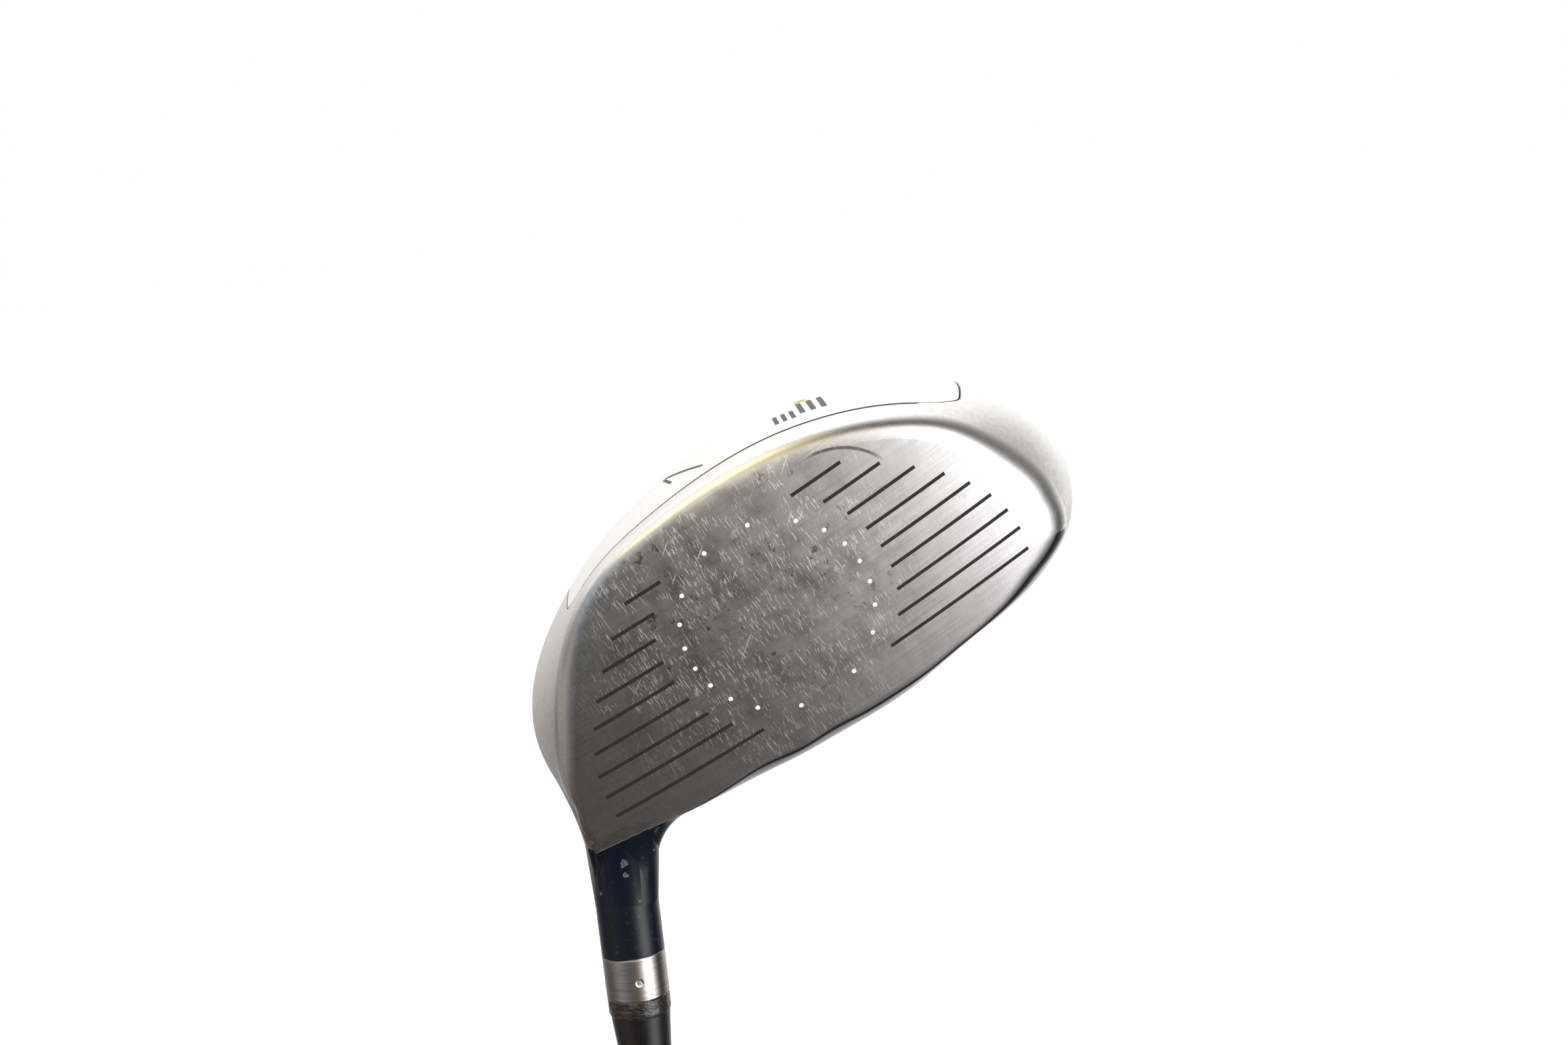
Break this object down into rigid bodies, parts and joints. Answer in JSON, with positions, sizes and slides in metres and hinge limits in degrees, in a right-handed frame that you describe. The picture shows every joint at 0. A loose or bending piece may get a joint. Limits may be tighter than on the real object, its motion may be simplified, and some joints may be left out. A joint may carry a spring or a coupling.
{
  "type": "golf driver",
  "caption": "Right-handed golf driver with a hollow metal head, bulged face with score lines, navy crown and neck, graphite shaft and rubber grip.",
  "frame": {"origin": "centre of the grip cap's outer face, on the shaft's axis, at the mouth of the vent hole", "axes": "+Z along the shaft from the grip to the head; the face looks towards -Y; the head's toe points to +X and +Z; the crown faces +X and -Z"},
  "size_m": [0.12, 0.1067, 1.1658],
  "materials": {
    "face_metal": "brushed titanium, scuffed",
    "edge_metal": "satin titanium with a polished rounded edge",
    "skirt_metal": "satin titanium",
    "sole_silver": "pale silver gloss",
    "navy_paint": "deep navy gloss, a few chips",
    "plug_plastic": "matte",
    "black_paint": "matte paint in the grooves",
    "white_paint": "matte white",
    "grey_mark": "grey screen print",
    "yellow_mark": "yellow screen print",
    "weight_metal": "heavy tungsten alloy pad",
    "soft_glue": "soft hot melt",
    "adhesive": "cured epoxy",
    "collar_resin": "dark glossy resin with brown streaks",
    "ferrule_black": "black gloss",
    "graphite": "clear-coated carbon composite",
    "brass_plug": "turned",
    "tape": "double-sided paper tape",
    "grip_rubber": "matte, moulded pattern",
    "cap_rubber": "firm, smooth"
  },
  "bodies": {
    "root": {"face_plate": "face_metal", "front_frame": "edge_metal", "skirt": "skirt_metal", "sole_plate": "sole_silver", "crown": "navy_paint", "neck_fairing": "navy_paint", "hosel": "navy_paint", "hosel_plug": "plug_plastic", "score_line_paint": "black_paint", "aim_dot_paint": "white_paint", "sole_bars": "grey_mark", "sole_stripe": "grey_mark", "sole_accent": "yellow_mark", "rear_weight": "weight_metal", "rattle_glue": "soft_glue", "shaft_adhesive": "adhesive", "adhesive_collar": "collar_resin", "ferrule": "ferrule_black", "shaft": "graphite", "tip_weight": "brass_plug", "grip_tape": "tape", "grip": "grip_rubber", "grip_cap": "cap_rubber"}
  },
  "joints": []
}
